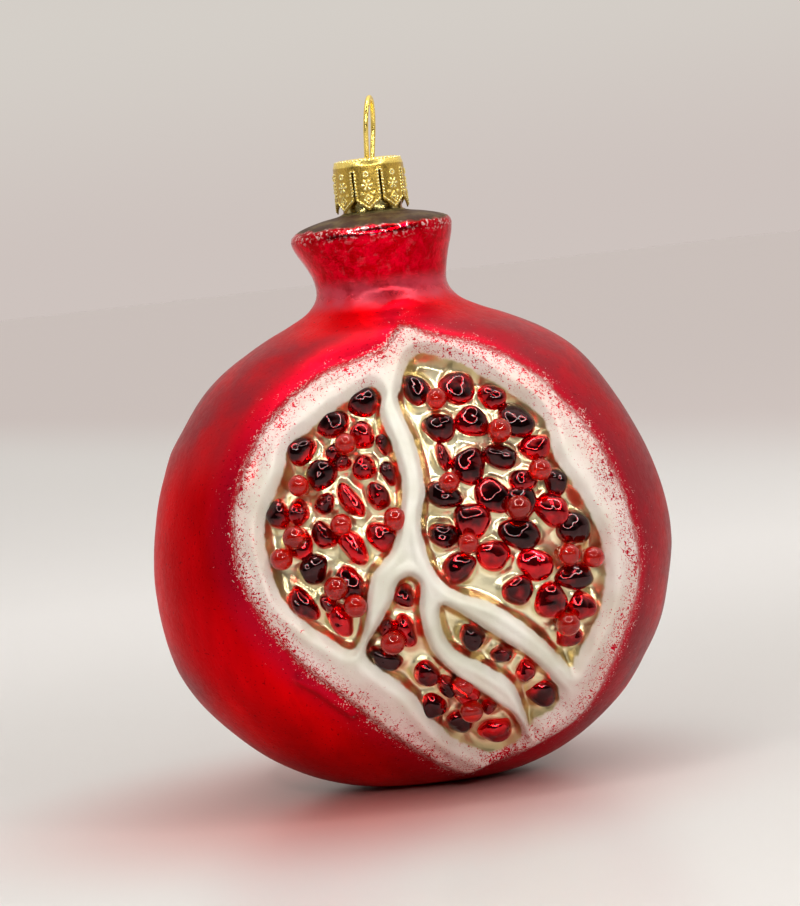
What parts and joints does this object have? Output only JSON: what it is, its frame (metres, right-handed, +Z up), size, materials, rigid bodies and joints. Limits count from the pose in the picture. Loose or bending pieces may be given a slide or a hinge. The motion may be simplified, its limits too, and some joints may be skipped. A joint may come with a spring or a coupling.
{
  "type": "glass pomegranate ornament",
  "caption": "Hollow mirrored glass ornament shaped like an opened pomegranate, with raised seeds, a crown cap and a wire loop.",
  "frame": {"origin": "middle of the small flat under the body that the ornament rests on, on the neck's axis", "axes": "+Z up along the neck, -Y out of the opened face, +X to the right seen from the opened face"},
  "size_m": [0.0824, 0.0666, 0.1094],
  "materials": {
    "lacquered_glass": "red lacquer over mirrored glass, with white enamel and gold mirror on the opened face",
    "red_bead": "polished translucent red glass",
    "gold_metal": "bright gold"
  },
  "bodies": {
    "root": {"glass_body": "lacquered_glass", "bead_01": "red_bead", "bead_02": "red_bead", "bead_03": "red_bead", "bead_04": "red_bead", "bead_05": "red_bead", "bead_06": "red_bead", "bead_07": "red_bead", "bead_08": "red_bead", "bead_09": "red_bead", "bead_10": "red_bead", "bead_11": "red_bead", "bead_12": "red_bead", "bead_13": "red_bead", "bead_14": "red_bead", "bead_15": "red_bead", "bead_16": "red_bead", "bead_17": "red_bead", "bead_18": "red_bead", "bead_19": "red_bead", "bead_20": "red_bead", "cap": "gold_metal", "hanger_wire": "gold_metal"}
  },
  "joints": []
}
